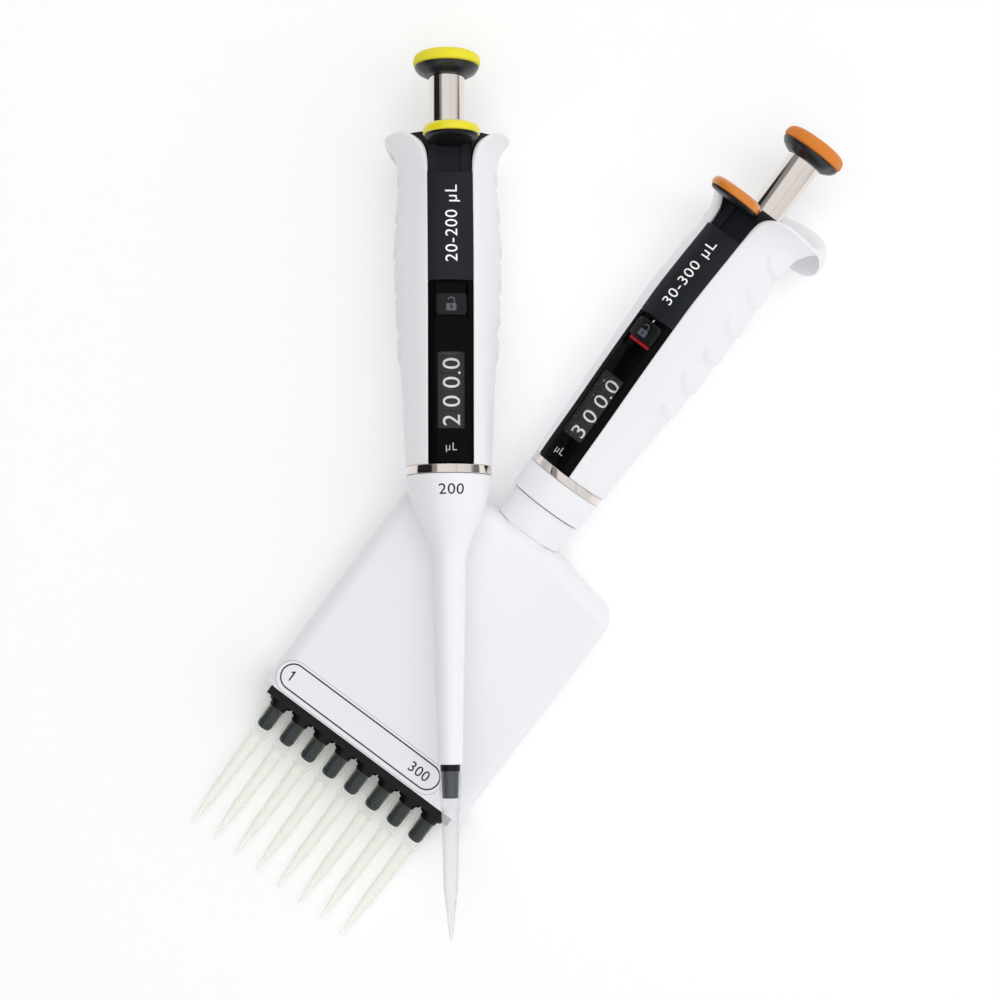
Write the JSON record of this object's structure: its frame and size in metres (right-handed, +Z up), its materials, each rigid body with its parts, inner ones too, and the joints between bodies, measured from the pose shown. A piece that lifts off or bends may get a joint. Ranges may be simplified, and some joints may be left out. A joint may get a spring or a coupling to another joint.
{
  "type": "pipette set",
  "caption": "Mechanical single-channel pipette lying across an eight-channel pipette, each with a plunger button, tip ejector, volume counter, finger hook and fitted tips.",
  "frame": {"origin": "middle of the base of the lying set, on the table", "axes": "+Z up from the table, +Y along the single-channel pipette towards its button (longest), +X to the right seen from above with the buttons away"},
  "size_m": [0.2174, 0.293, 0.0683],
  "materials": {
    "white_plastic": "satin moulded",
    "dark_plastic": "fine matt",
    "black_gloss": "polished",
    "smoked_window": "polished, smoked",
    "lock_plastic": "satin",
    "chrome": "polished",
    "steel": "ground and polished",
    "black_plastic": "satin",
    "slate_plastic": "satin",
    "inner_plastic": "moulded",
    "wheel_plastic": "matt",
    "label_plastic": "matt, writable",
    "seal_rubber": "matt",
    "yellow_cap": "fine textured",
    "yellow_gloss": "polished",
    "orange_cap": "fine textured",
    "orange_gloss": "polished",
    "tip_clear": "translucent moulded",
    "tip_tinted": "translucent moulded"
  },
  "bodies": {
    "multi_manifold": {"multi_manifold_front": "white_plastic", "multi_manifold_back": "white_plastic", "multi_label_strip": "label_plastic", "multi_neck_collar": "white_plastic", "multi_cylinder_plate": "inner_plastic", "multi_tip_cones": "slate_plastic", "multi_guide_rods": "steel"},
    "multi_eject_set": {"multi_ejector_bar": "black_plastic", "multi_eject_frame": "inner_plastic"},
    "multi_piston_set": {"multi_piston_bar": "inner_plastic", "multi_pistons": "steel"},
    "multi_tip_set": {"multi_tips": "tip_tinted"},
    "multi_handle": {"multi_handle_shell": "white_plastic", "multi_top_bezel": "dark_plastic", "multi_name_panel": "dark_plastic", "multi_display_panel": "black_gloss", "multi_display_window": "smoked_window", "multi_counter_frame": "inner_plastic", "multi_metal_ring": "chrome", "multi_primary_spring": "steel", "multi_blowout_spring": "steel", "multi_swivel_collar": "white_plastic"},
    "multi_plunger": {"multi_plunger_rod": "steel"},
    "multi_dial": {"multi_button_cap": "orange_cap", "multi_button_flange": "black_plastic", "multi_plunger_tube": "steel", "multi_drive_shaft": "steel"},
    "multi_wheel_hundreds": {"multi_wheel_hundreds": "wheel_plastic"},
    "multi_wheel_tens": {"multi_wheel_tens": "wheel_plastic"},
    "multi_wheel_units": {"multi_wheel_units": "wheel_plastic"},
    "multi_wheel_tenths": {"multi_wheel_tenths": "wheel_plastic"},
    "multi_ejector": {"multi_eject_button": "orange_gloss", "multi_eject_slide": "dark_plastic"},
    "multi_lock": {"multi_lock_button": "lock_plastic"},
    "single_handle": {"single_handle_shell": "white_plastic", "single_top_bezel": "dark_plastic", "single_name_panel": "dark_plastic", "single_display_panel": "black_gloss", "single_display_window": "smoked_window", "single_counter_frame": "inner_plastic", "single_metal_ring": "chrome", "single_primary_spring": "steel", "single_blowout_spring": "steel", "single_tip_cone": "slate_plastic", "single_piston_seal": "seal_rubber"},
    "single_plunger": {"single_plunger_rod": "steel", "single_piston": "steel"},
    "single_dial": {"single_button_cap": "yellow_cap", "single_button_flange": "black_plastic", "single_plunger_tube": "steel", "single_drive_shaft": "steel"},
    "single_wheel_hundreds": {"single_wheel_hundreds": "wheel_plastic"},
    "single_wheel_tens": {"single_wheel_tens": "wheel_plastic"},
    "single_wheel_units": {"single_wheel_units": "wheel_plastic"},
    "single_wheel_tenths": {"single_wheel_tenths": "wheel_plastic"},
    "single_ejector": {"single_eject_button": "yellow_gloss", "single_eject_slide": "dark_plastic", "single_ejector_sleeve": "white_plastic"},
    "single_lock": {"single_lock_button": "lock_plastic"},
    "single_tip": {"single_tip": "tip_clear"}
  },
  "joints": [
    {"name": "multi_swivel", "type": "hinge", "parent": "multi_manifold", "child": "multi_handle", "pos_m": [0.01133, -0.00114, 0.02233], "axis": [0.5959, 0.7965, 0.1024], "continuous": true},
    {"name": "multi_plunger_press", "type": "slide", "parent": "multi_handle", "child": "multi_plunger", "axis": [-0.5959, -0.7965, -0.1024], "range_m": [0, 0.016], "stiffness_N_per_m": 250, "springref_m": -0.004, "deforming": ["multi_primary_spring", "multi_blowout_spring"]},
    {"name": "multi_volume_dial", "type": "hinge", "parent": "multi_plunger", "child": "multi_dial", "pos_m": [0.09677, 0.11308, 0.03702], "axis": [0.5959, 0.7965, 0.1024], "range_deg": [-9720, 0]},
    {"name": "multi_wheel_hundreds_turn", "type": "hinge", "parent": "multi_handle", "child": "multi_wheel_hundreds", "pos_m": [0.02641, 0.02045, 0.02641], "axis": [0.5959, 0.7965, 0.1024], "range_deg": [-99.14, 1.94]},
    {"name": "multi_wheel_tens_turn", "type": "hinge", "parent": "multi_handle", "child": "multi_wheel_tens", "pos_m": [0.02999, 0.02522, 0.02702], "axis": [0.5959, 0.7965, 0.1024], "range_deg": [-991.44, 19.44]},
    {"name": "multi_wheel_units_turn", "type": "hinge", "parent": "multi_handle", "child": "multi_wheel_units", "pos_m": [0.03356, 0.03, 0.02763], "axis": [0.5959, 0.7965, 0.1024], "range_deg": [-9914.4, 194.4]},
    {"name": "multi_wheel_tenths_turn", "type": "hinge", "parent": "multi_handle", "child": "multi_wheel_tenths", "pos_m": [0.03714, 0.03478, 0.02825], "axis": [0.5959, 0.7965, 0.1024], "range_deg": [-99144, 1944]},
    {"name": "multi_eject_press", "type": "slide", "parent": "multi_handle", "child": "multi_ejector", "axis": [-0.5959, -0.7965, -0.1024], "range_m": [0, 0.008], "stiffness_N_per_m": 200, "springref_m": -0.003},
    {"name": "multi_lock_slide", "type": "slide", "parent": "multi_handle", "child": "multi_lock", "axis": [0.5959, 0.7965, 0.1024], "range_m": [-0.0025, 0]},
    {"name": "single_plunger_press", "type": "slide", "parent": "single_handle", "child": "single_plunger", "axis": [0.007, -0.9972, 0.075], "range_m": [0, 0.016], "stiffness_N_per_m": 250, "springref_m": -0.004, "deforming": ["single_primary_spring", "single_blowout_spring"]},
    {"name": "single_volume_dial", "type": "hinge", "parent": "single_plunger", "child": "single_dial", "pos_m": [-0.02144, 0.14135, 0.03587], "axis": [-0.007, 0.9972, -0.075], "range_deg": [-6480, 0]},
    {"name": "single_wheel_hundreds_turn", "type": "hinge", "parent": "single_handle", "child": "single_wheel_hundreds", "pos_m": [-0.02049, 0.025, 0.04622], "axis": [-0.007, 0.9972, -0.075], "range_deg": [-66.1, 1.3]},
    {"name": "single_wheel_tens_turn", "type": "hinge", "parent": "single_handle", "child": "single_wheel_tens", "pos_m": [-0.02053, 0.03098, 0.04577], "axis": [-0.007, 0.9972, -0.075], "range_deg": [-660.96, 12.96]},
    {"name": "single_wheel_units_turn", "type": "hinge", "parent": "single_handle", "child": "single_wheel_units", "pos_m": [-0.02057, 0.03696, 0.04532], "axis": [-0.007, 0.9972, -0.075], "range_deg": [-6609.6, 129.6]},
    {"name": "single_wheel_tenths_turn", "type": "hinge", "parent": "single_handle", "child": "single_wheel_tenths", "pos_m": [-0.02062, 0.04295, 0.04487], "axis": [-0.007, 0.9972, -0.075], "range_deg": [-66096, 1296]},
    {"name": "single_eject_press", "type": "slide", "parent": "single_handle", "child": "single_ejector", "axis": [0.007, -0.9972, 0.075], "range_m": [0, 0.008], "stiffness_N_per_m": 200, "springref_m": -0.003},
    {"name": "single_lock_slide", "type": "slide", "parent": "single_handle", "child": "single_lock", "axis": [-0.007, 0.9972, -0.075], "range_m": [0, 0.0025]},
    {"name": "multi_bar_slide", "type": "slide", "parent": "multi_manifold", "child": "multi_eject_set", "axis": [-0.5959, -0.7965, -0.1024], "range_m": [-0.0002, 0.0082]},
    {"name": "multi_piston_slide", "type": "slide", "parent": "multi_manifold", "child": "multi_piston_set", "axis": [-0.5959, -0.7965, -0.1024], "range_m": [-0.0003, 0.0163]},
    {"name": "multi_tip_slide", "type": "slide", "parent": "multi_manifold", "child": "multi_tip_set", "axis": [-0.5959, -0.7965, -0.1024], "range_m": [-0.0002, 0.0082]},
    {"name": "single_tip_slide", "type": "slide", "parent": "single_handle", "child": "single_tip", "axis": [0.007, -0.9972, 0.075], "range_m": [-0.0002, 0.0082]},
    {"name": "single_lift", "type": "slide", "parent": "multi_manifold", "child": "single_handle", "axis": [0, 0, 1], "range_m": [0, 0.12]}
  ],
  "couplings": [
    {"joint": "multi_wheel_hundreds_turn", "follows": "multi_volume_dial", "ratio": 0.01},
    {"joint": "multi_wheel_tens_turn", "follows": "multi_volume_dial", "ratio": 0.1},
    {"joint": "multi_wheel_units_turn", "follows": "multi_volume_dial", "ratio": 1},
    {"joint": "multi_wheel_tenths_turn", "follows": "multi_volume_dial", "ratio": 10},
    {"joint": "single_wheel_hundreds_turn", "follows": "single_volume_dial", "ratio": 0.01},
    {"joint": "single_wheel_tens_turn", "follows": "single_volume_dial", "ratio": 0.1},
    {"joint": "single_wheel_units_turn", "follows": "single_volume_dial", "ratio": 1},
    {"joint": "single_wheel_tenths_turn", "follows": "single_volume_dial", "ratio": 10},
    {"joint": "multi_bar_slide", "follows": "multi_eject_press", "ratio": 1},
    {"joint": "multi_tip_slide", "follows": "multi_eject_press", "ratio": 1},
    {"joint": "multi_piston_slide", "follows": "multi_plunger_press", "ratio": 1},
    {"joint": "single_tip_slide", "follows": "single_eject_press", "ratio": 1}
  ]
}
